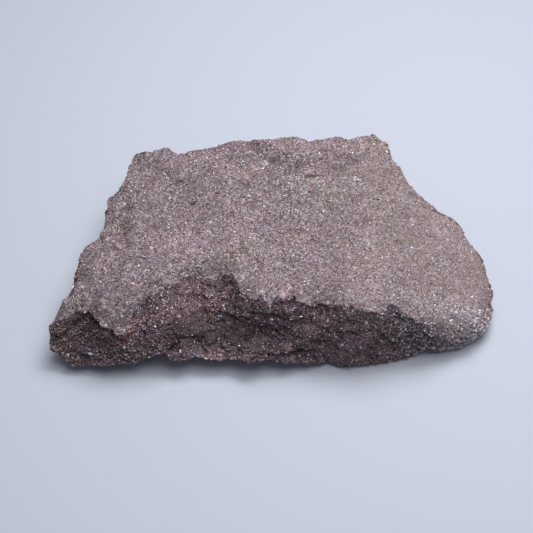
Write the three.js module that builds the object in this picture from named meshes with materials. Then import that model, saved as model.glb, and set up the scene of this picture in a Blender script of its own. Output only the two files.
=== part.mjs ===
// A slab of sandstone, broken out of its bed by hand, as one faceted solid.
//
// The broad top is a bedding plane: nearly flat, with two lobes of a thin layer
// at the back, steps where layers have split off at the left, and facets that
// fall away at both ends. The sides are broken across the beds, so they carry
// ledges, slits and a large bite at the front. The underside curves down to a
// flat that the slab rests on.
//
// Lengths are millimetres. +X runs to the right, +Y to the back and +Z up.
// The origin is on the floor, under the middle of the slab.
import * as THREE from "three";

const { lerp, clamp, smoothstep } = THREE.MathUtils;

// Size of the facets: cells from left to right, from front to back, and from
// the rim down to the foot.
const CELLS_ALONG = 56;
const CELLS_DEEP = 22;
const CELLS_HIGH = 15;

// Planes that the top is cut from: height over the origin, rise for each
// millimetre to the right, and rise for each millimetre to the back. The
// lowest plane at a place is the surface there.
const TOP_PLANES = [
  { name: "bedding plane", height: 15.2, right: 0, back: 0.02 },
  { name: "left facet", height: 23.2, right: 0.31, back: 0.042 },
  { name: "left front facet", height: 23.34, right: 0.12, back: 0.42 },
  { name: "right end, dipping away", height: 26.4, right: -0.52, back: 0.08 },
  { name: "left back edge", height: 15.6, right: 0.035, back: 0 },
];
const FACET_ROUNDING = 0.35;

// Thin layers left on the top, or split off where the thickness is negative:
// thickness, width of the edge's slope, and outline in plan.
const LAYERS = [
  {
    name: "left lobe at the back", thick: 1, slope: 2,
    outline: [
      [-3.2, 24], [-2.9, 20.2], [-1.8, 17.6], [0.6, 15.6], [3.2, 14.6], [6.2, 14.2], [8.6, 14.6],
      [9.9, 16.4], [11.8, 17.6], [14, 24],
    ],
  },
  {
    name: "right lobe at the back", thick: 0.9, slope: 1.8,
    outline: [
      [9.6, 24], [10.6, 18.2], [12.4, 16.4], [14.6, 15.6], [17.2, 16], [18.6, 18], [20.5, 24],
    ],
  },
  {
    name: "step at the left", thick: -0.9, slope: 1.6,
    outline: [
      [-45, 9], [-27.2, 9.4], [-25.6, 6.4], [-25.4, 3.4], [-26.4, 0.6], [-25.8, -1.8],
      [-25.2, -4.6], [-26.2, -7.2], [-26, -8.6], [-27.2, -10.4], [-30, -11.6], [-45, -14],
    ],
  },
  {
    name: "step at the left back", thick: -0.5, slope: 1.4,
    outline: [
      [-30, 24], [-21.8, 16.6], [-21.5, 15.2], [-22.6, 13.4], [-24.4, 12.4], [-45, 12],
    ],
  },
];
const LAYER_RAGGED = { long: 2.1, reach: 0.5 };

// The top's rounded and chipped shoulder along the rim: how far it drops at
// the rim, how much further along the front, its width, and the drop's chips.
const SHOULDER = { drop: 0.35, frontDrop: 0.95, width: 1.2 };
const SHOULDER_CHIPS = { long: 1.9, reach: 0.7, seed: 61 };

// Pits in the top: place, radius and depth.
const PITS = [
  { x: -27.8, y: 0.4, radius: 1.9, depth: 0.7 },
  { x: -24.2, y: -9.4, radius: 1.6, depth: 0.6 },
  { x: -21.6, y: -13.2, radius: 1.2, depth: 0.6 },
];

// The slab's four sides. "top" is the rim of the bedding face in plan, "brow"
// is the line where the broken side stands out most, and "foot" is where it
// turns under. Brow and foot points hold their height as well.
const FRONT = {
  axis: "x",
  top: [
    [-38.3, -17.7], [-34.2, -17.1], [-31.4, -16.7], [-30.5, -17.4], [-28.7, -18.8],
    [-26.1, -19.7], [-23.2, -17.9], [-20.7, -15], [-17.6, -13.8], [-15.1, -12], [-13, -10.7],
    [-10.2, -10.5], [-6.9, -11.1], [-5.6, -14], [-2.7, -16.6], [2.3, -17.2], [5, -16.6],
    [8.1, -16.3], [11.8, -17.9], [16, -18.8], [21.6, -17.6], [24.8, -18], [28.2, -18.4],
    [31.9, -17], [34.6, -15.8], [38, -13.6],
  ],
  brow: [
    [-38.9, -19.2, 5.4], [-35.6, -18.6, 6.5], [-32.5, -18.7, 6.5], [-30, -19.4, 7],
    [-27.5, -20.5, 9.2], [-24.7, -20.5, 9.4], [-21.2, -19.4, 10], [-19.4, -18.4, 10.2],
    [-16.3, -16.9, 10], [-13.4, -15.8, 9], [-11.4, -14.9, 8.6], [-9, -14.9, 8.6],
    [-6.7, -15.6, 8.8], [-4.4, -17, 9], [-1.5, -18, 9], [2.5, -18.8, 9], [8.6, -19.3, 9],
    [12.5, -19.9, 9], [16.3, -20, 8.5], [24.9, -18.9, 6.5], [28, -18.9, 6], [31.8, -18.1, 5],
    [35, -16.9, 4.2], [38.7, -14.5, 3.2],
  ],
  foot: [
    [-36.8, -20.2, 2], [-34.6, -21.5, 2], [-32.4, -22, 2.4], [-29.9, -22.5, 3], [-26.7, -22.5, 3],
    [-23.7, -22.4, 3.4], [-21.1, -21.8, 4.2], [-18.4, -21.4, 5], [-17.6, -21.6, 3.6],
    [-11.9, -21.7, 3.6], [-6.8, -21.9, 3.6], [-1.8, -22, 3.5], [3, -21.8, 2.8], [7, -21.2, 1.8],
    [11, -20.9, 1], [16.6, -20.6, 0.4], [18.7, -20.6, 0.3], [23.1, -19.5, 0.3],
    [25.3, -18.8, 0.3], [27.5, -17.7, 0.3], [29.6, -17.9, 0.3], [34, -16.9, 0.3],
    [36.5, -15.5, 0.3], [38, -13.8, 0.3],
  ],
};
const RIGHT = {
  axis: "y",
  top: [
    [38, -13.6], [39.7, -10.9], [40.1, -6.4], [39.1, -2.2], [37.3, 1.5], [35.4, 4.7], [33.6, 6.7],
    [30.8, 6.7], [28.8, 8.8], [26.3, 10.4], [24.8, 13.8], [22.8, 16.6], [22.1, 21],
  ],
  brow: [
    [38.7, -14.5, 3.2], [40.1, -11.2, 3], [40, -6.8, 3.6], [38.3, -1.4, 3.2], [35.9, 3, 4.4],
    [33.8, 6.2, 4.8], [30, 8, 6.4], [27.2, 11, 6.8], [25, 15.2, 8], [22.9, 19.8, 8.5],
  ],
  foot: [
    [38, -13.8, 0.3], [39, -11, 0.5], [38.4, -6.5, 1], [36, 0.5, 1.5], [32, 6.5, 2],
    [26.4, 11.5, 2.5], [21.9, 18.8, 3],
  ],
};
const BACK = {
  axis: "x",
  top: [
    [22.1, 21], [19.8, 21.9], [17.4, 21.1], [14.7, 20.6], [11.2, 20.7], [7.5, 19.8], [2.8, 21],
    [-1.5, 21.3], [-5.7, 21.5], [-10.4, 20.3], [-14.7, 19], [-17.3, 18.5], [-19.7, 19.7],
    [-22.6, 18.8], [-25.5, 18.1],
  ],
  brow: [
    [22.9, 19.8, 8.5], [19.5, 21.9, 9], [16, 22, 7.6], [12, 20.9, 8.6], [8, 21.3, 8.2],
    [3, 20.9, 9], [-2, 21.9, 7.4], [-8, 21.2, 8.7], [-13, 19.6, 8.2], [-17, 19.5, 7.6],
    [-22, 19.2, 8.2], [-25.9, 17.2, 8],
  ],
  foot: [
    [21.9, 18.8, 3], [17.5, 20.4, 2.2], [12, 20.2, 3.2], [5, 20, 2], [0, 20.7, 2.6],
    [-6, 20.2, 2.2], [-12, 18.9, 3.2], [-18, 18.3, 2.6], [-23.2, 17.2, 3.2], [-25.1, 15.9, 3],
  ],
};
const LEFT = {
  axis: "y",
  top: [
    [-25.5, 18.1], [-26.7, 15.2], [-27.3, 11.5], [-28.1, 9.6], [-29.8, 7.6], [-29.4, 4.3],
    [-30.1, 1.2], [-30.5, -1.1], [-32.6, -2.5], [-34.2, -4.8], [-34.5, -8.9], [-34.8, -12.8],
    [-36.5, -15.3], [-38.3, -17.7],
  ],
  brow: [
    [-25.9, 17.2, 8], [-27.2, 13.4, 8.4], [-28.6, 10.2, 7.2], [-30.2, 6.4, 7.8], [-30.9, 2, 7],
    [-32.6, -1.6, 7.8], [-34.7, -5.2, 6.6], [-35.6, -9.6, 7.4], [-36.9, -13.2, 6.8],
    [-38.9, -19.2, 5.4],
  ],
  foot: [
    [-25.1, 15.9, 3], [-27, 11.6, 2.4], [-28.6, 7, 3], [-30.4, 2.4, 2.2], [-31.8, -2, 2.8],
    [-34, -6.6, 2.2], [-34.9, -11, 2.8], [-37, -17, 2], [-36.8, -20.2, 2],
  ],
};
const SIDES = [FRONT, RIGHT, BACK, LEFT];
const RIM_OUTLINE = SIDES.flatMap((side) => side.top.slice(0, -1));

// Slits and undercuts across the front, from one end to the other: places
// along X, heights at the two ends, height of the band and depth. A negative
// depth stands out.
const FRONT_RECESSES = [
  { name: "under the bite's rim", from: -12.2, to: -8.4, high: [13.9, 13.9], band: 1.5, depth: 1 },
  { name: "right of that", from: -9.4, to: -5.6, high: [13.2, 12.4], band: 1.3, depth: 1 },
  { name: "waist of the bite", from: -14, to: 0.5, high: [8.2, 7.4], band: 2.4, depth: 1.1 },
  { name: "hollow that runs down to the right", from: -7.5, to: 7, high: [9.6, 6.6], band: 3.2, depth: 0.8 },
  { name: "right of the bite", from: -1.5, to: 3.2, high: [10.6, 10.4], band: 1.6, depth: 0.9 },
  { name: "long slit over the foot", from: -0.5, to: 9, high: [4.8, 4], band: 1.2, depth: 1.6 },
  { name: "middle slit", from: 7.3, to: 12.2, high: [9.3, 9], band: 1.1, depth: 1.1 },
  { name: "right middle slit", from: 9.5, to: 17.2, high: [8.4, 9.6], band: 1.3, depth: 1 },
  { name: "low slit", from: 6, to: 12, high: [6.6, 6.4], band: 0.8, depth: 0.8 },
  { name: "slit under the rim", from: 14.3, to: 19.8, high: [14, 13.8], band: 0.9, depth: 1 },
  { name: "right corner of the bite", from: -6.4, to: -3.8, high: [13.8, 13.6], band: 0.9, depth: 0.9 },
  { name: "below that corner", from: -5, to: -0.8, high: [12.4, 11.8], band: 0.9, depth: 0.6 },
  { name: "undercut of the rim", from: 4.8, to: 13.2, high: [13.4, 12.8], band: 1.8, depth: 1.2 },
  { name: "left edge of the bite", from: -13.2, to: -11.4, high: [11.4, 8.4], band: 0.8, depth: 1 },
  { name: "overhang at the foot", from: -18.9, to: -15.6, high: [4.6, 6.3], band: 1.6, depth: 2.4 },
  { name: "notch in the left block", from: -33, to: -29.2, high: [12.2, 11.2], band: 2.2, depth: 3 },
  { name: "crack below the notch", from: -30.6, to: -27, high: [10.8, 9], band: 1.5, depth: 2.2 },
  { name: "end of that crack", from: -28.4, to: -24.6, high: [9.6, 7.4], band: 1.2, depth: 1.5 },
  { name: "crack in the left block", from: -35.2, to: -32, high: [7.4, 10.7], band: 1.1, depth: 1.4 },
  { name: "slit at the left tip", from: -39.2, to: -34.8, high: [5, 7.4], band: 1, depth: 1.3 },
  { name: "short slit by the crack", from: -29.2, to: -26.6, high: [7.8, 7.6], band: 0.7, depth: 0.8 },
  { name: "pocket at the left foot", from: -35.2, to: -32.2, high: [3.6, 3.2], band: 1.4, depth: 1 },
  { name: "pocket by the low ledge", from: -13.2, to: -11.4, high: [5.4, 4.6], band: 2.4, depth: 1.1 },
  { name: "low ledge", from: -12, to: 5.5, high: [5.2, 5], band: 3.4, depth: -1 },
  { name: "ledge under the rim", from: 7.2, to: 9.8, high: [14.4, 14.4], band: 1, depth: -0.7 },
  { name: "right end slit", from: 24, to: 31, high: [6.5, 5.5], band: 1.2, depth: 0.8 },
  { name: "left flute", from: 17.2, to: 23.6, high: [10.6, 3.2], band: 1.9, depth: 0.7 },
  { name: "middle flute", from: 19.8, to: 27, high: [13, 4.2], band: 2, depth: 0.8 },
  { name: "right flute", from: 22.8, to: 29.6, high: [11.6, 3.4], band: 1.8, depth: 0.7 },
];
const SLIT_WANDER = 0.3;

// Broken beds: thickness of a bed, how far along one bed keeps its reach, and
// how much one bed stands out beyond the next.
const BED = { thick: 2.3, run: 3.5, reach: 0.42, seed: 1.7 };
const BED_DIP_FROM = 20; // right of here the beds dip to the right
const BED_DIP = 0.55;
const LUMP = { long: 3.2, high: 2, reach: 0.4 };

// Waviness of the top and raggedness of the rim and the foot.
const TOP_WAVES = [
  { long: 9, high: 0.5, seed: 3.3 },
  { long: 4, high: 0.3, seed: 7.7 },
];
const RIM_RAGGED = { long: 2.6, reach: 0.3, seed: 21 };
const FOOT_RAGGED = { long: 2.6, reach: 0.4, seed: 31 };

// The underside falls from the foot to the resting flat within about this
// distance of the foot.
const UNDER_CURVE = 4.5;
const HALF_LONG = 39.5;
const HALF_DEEP = 22;
// Middle of the finished outline in plan, which is moved onto the origin.
const MIDDLE = { x: 0.79, y: -0.19 };

// A smooth field of random heights between -1 and 1, one knot per unit, that
// is the same on every run.
function knot(i, j, k) {
  const s = Math.sin(i * 127.1 + j * 311.7 + k * 74.7) * 43758.5453;
  return s - Math.floor(s);
}
function noise(x, y, z) {
  const [i, j, k] = [Math.floor(x), Math.floor(y), Math.floor(z)];
  const [u, v, w] = [smoothstep(x - i, 0, 1), smoothstep(y - j, 0, 1), smoothstep(z - k, 0, 1)];
  const alongX = (b, c) => lerp(knot(i, j + b, k + c), knot(i + 1, j + b, k + c), u);
  const alongY = (c) => lerp(alongX(0, c), alongX(1, c), v);
  return 2 * lerp(alongY(0), alongY(1), w) - 1;
}

// Distance from a place to a closed outline, above 0 inside it: the nearest
// edge, with its sign from counting crossings.
function depthInside(x, y, outline) {
  let nearest = Infinity;
  let inside = false;
  outline.forEach(([ax, ay], n) => {
    const [bx, by] = outline[(n + 1) % outline.length];
    const [run, rise] = [bx - ax, by - ay];
    const share = clamp(((x - ax) * run + (y - ay) * rise) / (run ** 2 + rise ** 2), 0, 1);
    nearest = Math.min(nearest, Math.hypot(x - ax - share * run, y - ay - share * rise));
    if (ay > y !== by > y && x < ax + (run * (y - ay)) / rise) inside = !inside;
  });
  return inside ? nearest : -nearest;
}

// How far the top has worn down towards its rim: a rounded shoulder that is
// deeper in random chips and along the front.
function shoulderDrop(x, y) {
  const inside = Math.max(0, depthInside(x, y, RIM_OUTLINE));
  const drop = SHOULDER.drop + SHOULDER.frontDrop * smoothstep(-y, 5, 10);
  const c = SHOULDER_CHIPS;
  const chips = 1 + c.reach * noise(x / c.long, y / c.long, c.seed);
  return drop * chips * Math.exp(-((inside / SHOULDER.width) ** 1.5));
}

// Height of the bedding face: the lowest of its planes, rounded where they
// meet, plus the layers, the pits and the waves, less the shoulder.
function topHeight(x, y) {
  let sum = 0;
  for (const p of TOP_PLANES)
    sum += Math.exp(-(p.height + p.right * x + p.back * y) / FACET_ROUNDING);
  let height = -FACET_ROUNDING * Math.log(sum);
  const steps = LAYERS.map((layer) => {
    const wander = noise(x / LAYER_RAGGED.long, y / LAYER_RAGGED.long, layer.thick);
    const depth = depthInside(x, y, layer.outline) + LAYER_RAGGED.reach * wander;
    return layer.thick * smoothstep(depth, -layer.slope / 2, layer.slope / 2);
  });
  height += Math.max(0, ...steps) + Math.min(0, ...steps);
  for (const p of PITS)
    height -= p.depth * Math.exp(-((x - p.x) ** 2 + (y - p.y) ** 2) / p.radius ** 2);
  for (const w of TOP_WAVES) height += w.high * noise(x / w.long, y / w.long, w.seed);
  return height - shoulderDrop(x, y);
}

// How far the front stands in at a place because of its slits and undercuts.
// A slit is deepest just under its upper lip and runs out gently below.
function recessDepth(x, z) {
  let depth = 0;
  for (const r of FRONT_RECESSES) {
    const share = (x - r.from) / (r.to - r.from);
    const middle =
      lerp(r.high[0], r.high[1], clamp(share, 0, 1)) + SLIT_WANDER * noise(x / 1.3, 0, r.high[0]);
    const up = (z - middle) / r.band;
    const section =
      r.depth > 0
        ? smoothstep(up, -0.9, 0.1) * (1 - smoothstep(up, 0.15, 0.5))
        : Math.exp(-((up / 0.5) ** 2));
    const ends = smoothstep(share, -0.02, 0.3) * (1 - smoothstep(share, 0.7, 1.02));
    depth += r.depth * section * ends;
  }
  return depth;
}

// How far a broken side stands in at a place: whole beds that keep their
// reach for a stretch, with a sharp step from one to the next, plus lumps.
function brokenDepth(x, y, z) {
  const dipped = z + BED_DIP * Math.max(0, x - BED_DIP_FROM);
  const level =
    dipped / BED.thick +
    0.7 * noise(x / 7, y / 7, BED.seed) +
    0.6 * noise(x / 1.8, y / 1.8, dipped / 1.5 + BED.seed);
  const bed = Math.floor(level);
  const lower = noise(x / BED.run, y / BED.run, bed * 7.3 + BED.seed);
  const upper = noise(x / BED.run, y / BED.run, (bed + 1) * 7.3 + BED.seed);
  const reach = lerp(lower, upper, smoothstep(level - bed, 0.38, 0.62));
  return BED.reach * reach + LUMP.reach * noise(x / LUMP.long, y / LUMP.long, dipped / LUMP.high);
}

// The point at a share of the way along a line of corners, measured on the
// plan axis that the side runs along.
function pointAlong(corners, axis, share) {
  const c = axis === "x" ? 0 : 1;
  const first = corners[0][c];
  const place = lerp(first, corners.at(-1)[c], share);
  const forward = Math.sign(corners.at(-1)[c] - first);
  let n = 1;
  while (n < corners.length - 1 && (corners[n][c] - place) * forward < 0) n += 1;
  const [a, b] = [corners[n - 1], corners[n]];
  const t = (place - a[c]) / (b[c] - a[c]);
  return new THREE.Vector3(lerp(a[0], b[0], t), lerp(a[1], b[1], t), lerp(a[2] ?? 0, b[2] ?? 0, t));
}

// Outward direction in plan of an oval of the slab's size.
function outward(p) {
  return new THREE.Vector3(p.x / HALF_LONG ** 2, p.y / HALF_DEEP ** 2, 0).normalize();
}

// One column of the broken side: the corners it is drawn between, its outward
// direction, and its finished ends on the rim and at the foot.
function makeColumn(side, share) {
  const top = pointAlong(side.top, side.axis, share);
  const brow = pointAlong(side.brow, side.axis, share);
  const foot = pointAlong(side.foot, side.axis, share);
  const out = outward(brow);
  const ragged = (p, r) => -r.reach * noise(p.x / r.long, p.y / r.long, r.seed);
  const footLift = 0.35 * noise(foot.x / 2.2, foot.y / 2.2, 37);
  top.addScaledVector(out, ragged(top, RIM_RAGGED));
  foot.addScaledVector(out, ragged(foot, FOOT_RAGGED));
  top.z = topHeight(top.x, top.y);
  foot.z += footLift;
  const column = { top, brow, foot, out };
  column.rimEnd = sidePoint(column, 0);
  column.rimEnd.z = topHeight(column.rimEnd.x, column.rimEnd.y);
  column.footEnd = sidePoint(column, 1);
  return column;
}

// A column's surface point at a share of the way down from rim to foot.
function sidePoint(column, down) {
  const p =
    down < 0.5
      ? column.top.clone().lerp(column.brow, 2 * down)
      : column.brow.clone().lerp(column.foot, 2 * down - 1);
  const frontness = smoothstep(-column.out.y, 0.2, 0.6);
  const fade = smoothstep(down, 0, 0.07) * (1 - smoothstep(down, 0.93, 1));
  const broken = brokenDepth(p.x, p.y, p.z) * (1 - 0.6 * smoothstep(down, 0.9, 1));
  const depth = broken + recessDepth(p.x, p.z) * frontness * fade;
  return p.addScaledVector(column.out, -depth);
}

// The columns all round, counterclockwise from the front's left end.
function makeRing() {
  const ring = [];
  for (const side of SIDES) {
    const cells = side.axis === "x" ? CELLS_ALONG : CELLS_DEEP;
    for (let n = 0; n < cells; n += 1) ring.push(makeColumn(side, n / cells));
  }
  return ring;
}

// Place on the ring of a grid cell corner on the edge of the top or underside.
function ringIndex(i, j) {
  if (j === 0 && i < CELLS_ALONG) return i;
  if (i === CELLS_ALONG && j < CELLS_DEEP) return CELLS_ALONG + j;
  if (j === CELLS_DEEP && i > 0) return 2 * CELLS_ALONG + CELLS_DEEP - i;
  if (i === 0 && j > 0) return 2 * (CELLS_ALONG + CELLS_DEEP) - j;
  return -1;
}

// A point inside a closed ring, blended from the four sides (a Coons patch).
function patchPoint(ring, which, i, j) {
  const at = (a, b) => ring[ringIndex(a, b)][which];
  const [s, t] = [i / CELLS_ALONG, j / CELLS_DEEP];
  const frontBack = at(i, 0).clone().lerp(at(i, CELLS_DEEP), t);
  const leftRight = at(0, j).clone().lerp(at(CELLS_ALONG, j), s);
  const low = at(0, 0).clone().lerp(at(CELLS_ALONG, 0), s);
  const high = at(0, CELLS_DEEP).clone().lerp(at(CELLS_ALONG, CELLS_DEEP), s);
  return frontBack.add(leftRight).sub(low.lerp(high, t));
}

// Height of the underside: the foot's height dies away inwards, a little
// roughness is added, and what would reach the floor is cut flat.
function undersideHeight(p, i, j) {
  const fromEnd = Math.min(i, CELLS_ALONG - i) * (2 * HALF_LONG / CELLS_ALONG);
  const fromSide = Math.min(j, CELLS_DEEP - j) * (2 * HALF_DEEP / CELLS_DEEP);
  const inside = Math.min(fromEnd, fromSide);
  const rough =
    0.6 * noise(p.x / 8, p.y / 8, 41) + 0.25 * noise(p.x / 2.5, p.y / 2.5, 43) - 0.35;
  const rise = p.z * Math.exp(-((inside / UNDER_CURVE) ** 1.3));
  return Math.max(0, rise + rough * smoothstep(inside, 0, 3));
}

// The closed faceted surface: top grid, underside grid and the side between.
function makeSlabGeometry() {
  const ring = makeRing();
  const round = ring.length;
  const positions = [];
  const faces = [];
  const add = (p) => positions.push(p.x, p.y, p.z) / 3 - 1;
  const quad = (a, b, c, d) => faces.push(a, b, c, a, c, d);

  const rows = [ring.map((column) => add(column.rimEnd))];
  for (let n = 1; n < CELLS_HIGH; n += 1)
    rows.push(ring.map((column) => add(sidePoint(column, n / CELLS_HIGH))));
  rows.push(ring.map((column) => add(column.footEnd)));
  for (let n = 0; n < CELLS_HIGH; n += 1)
    for (let k = 0; k < round; k += 1) {
      const next = (k + 1) % round;
      quad(rows[n][k], rows[n + 1][k], rows[n + 1][next], rows[n][next]);
    }

  const makeCap = (which, edge, height) => {
    const grid = [];
    for (let i = 0; i <= CELLS_ALONG; i += 1) {
      grid.push([]);
      for (let j = 0; j <= CELLS_DEEP; j += 1) {
        const k = ringIndex(i, j);
        if (k >= 0) {
          grid[i].push(edge[k]);
          continue;
        }
        const p = patchPoint(ring, which, i, j);
        p.z = height(p, i, j);
        grid[i].push(add(p));
      }
    }
    return grid;
  };
  const top = makeCap("rimEnd", rows[0], (p) => topHeight(p.x, p.y));
  const under = makeCap("footEnd", rows[CELLS_HIGH], undersideHeight);
  for (let i = 0; i < CELLS_ALONG; i += 1)
    for (let j = 0; j < CELLS_DEEP; j += 1) {
      quad(top[i][j], top[i + 1][j], top[i + 1][j + 1], top[i][j + 1]);
      quad(under[i][j], under[i][j + 1], under[i + 1][j + 1], under[i + 1][j]);
    }

  const geometry = new THREE.BufferGeometry();
  geometry.setAttribute("position", new THREE.Float32BufferAttribute(positions, 3));
  geometry.setIndex(faces);
  geometry.translate(-MIDDLE.x, -MIDDLE.y, 0);
  geometry.computeVertexNormals();
  return geometry;
}

const sandstone = new THREE.MeshStandardMaterial({
  color: 0x94838a,
  roughness: 0.85,
  metalness: 0,
  flatShading: true,
});

const slab = new THREE.Mesh(makeSlabGeometry(), sandstone);
slab.name = "sandstone_slab";

const group = new THREE.Group();
group.add(slab);

export default group;
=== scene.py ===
"""A hand specimen of tosudite in sandstone, dressed for rendering.

One broken slab of grey-mauve sandstone. Its fine surface is one closed mesh
that replaces the plain solid, and its sand grains are small faceted blobs set
into that surface. Named lengths are metres unless the name ends in _MM. The
functions that work out the shape take and give millimetres, and slab_surface
turns the finished shape into metres and moves its middle onto the origin.
+X runs right, +Y back and +Z up, and the slab rests on z = 0.
"""

import functools
import math

import bpy
import numpy as np
from bpy.props import FloatProperty, FloatVectorProperty, IntProperty, PointerProperty
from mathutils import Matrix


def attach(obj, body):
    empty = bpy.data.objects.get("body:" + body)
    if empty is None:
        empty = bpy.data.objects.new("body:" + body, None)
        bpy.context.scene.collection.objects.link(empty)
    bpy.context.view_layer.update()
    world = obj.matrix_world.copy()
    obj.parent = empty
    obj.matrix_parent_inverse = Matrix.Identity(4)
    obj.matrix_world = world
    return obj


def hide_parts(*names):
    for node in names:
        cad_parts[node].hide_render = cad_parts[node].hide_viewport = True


bl_info = {
    "name": "Tosudite Sandstone Slab",
    "version": (1, 0, 0),
    "blender": (4, 5, 0),
    "location": "3D View > Sidebar > Sandstone",
    "description": "Makes a broken slab of sandstone with its sand grains, and a plain stage for it",
    "category": "Add Mesh",
}

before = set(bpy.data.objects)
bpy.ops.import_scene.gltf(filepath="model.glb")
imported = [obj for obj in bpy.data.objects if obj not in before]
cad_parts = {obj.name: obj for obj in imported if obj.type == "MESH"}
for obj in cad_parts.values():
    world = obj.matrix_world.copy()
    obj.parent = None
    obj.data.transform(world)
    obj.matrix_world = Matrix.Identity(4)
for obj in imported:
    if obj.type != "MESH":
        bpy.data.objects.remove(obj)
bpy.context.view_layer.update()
NODE = "sandstone_slab"
MM = 0.001

# ---------------------------------------------------------------- the shape
# Planes that the top is cut from: height over the origin, rise for each
# millimetre to the right and rise for each millimetre to the back.
TOP_PLANES_MM = np.array(
    [
        (15.2, 0.0, 0.02),  # bedding plane
        (23.2, 0.31, 0.042),  # left facet
        (23.34, 0.12, 0.42),  # left front facet
        (26.4, -0.52, 0.08),  # right end, dipping away
        (15.6, 0.035, 0.0),  # left back edge
    ]
)
FACET_ROUNDING_MM = 0.35

# Thin layers left on the top, or split off where the thickness is negative:
# thickness, width of the edge's slope, and outline.
LAYERS_MM = [
    (
        1.0, 2.0,
        [
            (-3.2, 24), (-2.9, 20.2), (-1.8, 17.6), (0.6, 15.6), (3.2, 14.6), (6.2, 14.2), (8.6, 14.6),
            (9.9, 16.4), (11.8, 17.6), (14.0, 24),
        ],
    ),
    (0.9, 1.8, [(9.6, 24), (10.6, 18.2), (12.4, 16.4), (14.6, 15.6), (17.2, 16.0), (18.6, 18.0), (20.5, 24)]),
    (
        -0.9, 1.6,
        [
            (-45, 9), (-27.2, 9.4), (-25.6, 6.4), (-25.4, 3.4), (-26.4, 0.6), (-25.8, -1.8), (-25.2, -4.6),
            (-26.2, -7.2), (-26.0, -8.6), (-27.2, -10.4), (-30, -11.6), (-45, -14),
        ],
    ),
    (-0.5, 1.4, [(-30, 24), (-21.8, 16.6), (-21.5, 15.2), (-22.6, 13.4), (-24.4, 12.4), (-45, 12)]),
]
# Raggedness of a layer's edge: length, reach.
LAYER_RAGGED_MM = [(2.1, 0.5), (0.8, 0.25)]
# Small pits in the top: x, y, radius and depth.
PITS_MM = [
    (-27.8, 0.4, 1.9, 0.7), (-24.2, -9.4, 1.6, 0.6), (-21.6, -13.2, 1.2, 0.6), (-14.4, 5.2, 0.7, 0.9),
    (-1.0, 8.4, 1.2, 0.4), (20.5, 12.0, 0.6, 0.5), (11.0, 3.0, 0.9, 0.35),
]

# The four sides in plan. "top" is the rim of the bedding face, "brow" the line
# where the broken side stands out most, and "foot" where it turns under. Brow
# and foot points hold their height as well.
FRONT = {
    "axis": 0,
    "top": [
        (-38.3, -17.7), (-34.2, -17.1), (-31.4, -16.7), (-30.5, -17.4), (-28.7, -18.8), (-26.1, -19.7),
        (-23.2, -17.9), (-20.7, -15), (-17.6, -13.8), (-15.1, -12), (-13, -10.7), (-10.2, -10.5),
        (-6.9, -11.1), (-5.6, -14), (-2.7, -16.6), (2.3, -17.2), (5, -16.6), (8.1, -16.3),
        (11.8, -17.9), (16, -18.8), (21.6, -17.6), (24.8, -18), (28.2, -18.4), (31.9, -17),
        (34.6, -15.8), (38, -13.6),
    ],
    "brow": [
        (-38.9, -19.2, 5.4), (-35.6, -18.6, 6.5), (-32.5, -18.7, 6.5), (-30, -19.4, 7), (-27.5, -20.5, 9.2),
        (-24.7, -20.5, 9.4), (-21.2, -19.4, 10), (-19.4, -18.4, 10.2), (-16.3, -16.9, 10),
        (-13.4, -15.8, 9), (-11.4, -14.9, 8.6), (-9, -14.9, 8.6), (-6.7, -15.6, 8.8), (-4.4, -17, 9),
        (-1.5, -18, 9), (2.5, -18.8, 9), (8.6, -19.3, 9), (12.5, -19.9, 9), (16.3, -20, 8.5),
        (24.9, -18.9, 6.5), (28, -18.9, 6), (31.8, -18.1, 5), (35, -16.9, 4.2), (38.7, -14.5, 3.2),
    ],
    "foot": [
        (-36.8, -20.2, 2), (-34.6, -21.5, 2), (-32.4, -22, 2.4), (-29.9, -22.5, 3), (-26.7, -22.5, 3),
        (-23.7, -22.4, 3.4), (-21.1, -21.8, 4.2), (-18.4, -21.4, 5), (-17.6, -21.6, 3.6), (-11.9, -21.7, 3.6),
        (-6.8, -21.9, 3.6), (-1.8, -22, 3.5), (3, -21.8, 2.8), (7, -21.2, 1.8), (11, -20.9, 1),
        (16.6, -20.6, 0.4), (18.7, -20.6, 0.3), (23.1, -19.5, 0.3), (25.3, -18.8, 0.3),
        (27.5, -17.7, 0.3), (29.6, -17.9, 0.3), (34, -16.9, 0.3), (36.5, -15.5, 0.3), (38, -13.8, 0.3),
    ],
}
RIGHT = {
    "axis": 1,
    "top": [
        (38, -13.6), (39.7, -10.9), (40.1, -6.4), (39.1, -2.2), (37.3, 1.5), (35.4, 4.7),
        (33.6, 6.7), (30.8, 6.7), (28.8, 8.8), (26.3, 10.4), (24.8, 13.8), (22.8, 16.6), (22.1, 21),
    ],
    "brow": [
        (38.7, -14.5, 3.2), (40.1, -11.2, 3), (40, -6.8, 3.6), (38.3, -1.4, 3.2), (35.9, 3, 4.4),
        (33.8, 6.2, 4.8), (30, 8, 6.4), (27.2, 11, 6.8), (25, 15.2, 8), (22.9, 19.8, 8.5),
    ],
    "foot": [
        (38, -13.8, 0.3), (39, -11, 0.5), (38.4, -6.5, 1), (36, 0.5, 1.5), (32, 6.5, 2), (26.4, 11.5, 2.5),
        (21.9, 18.8, 3),
    ],
}
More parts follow.
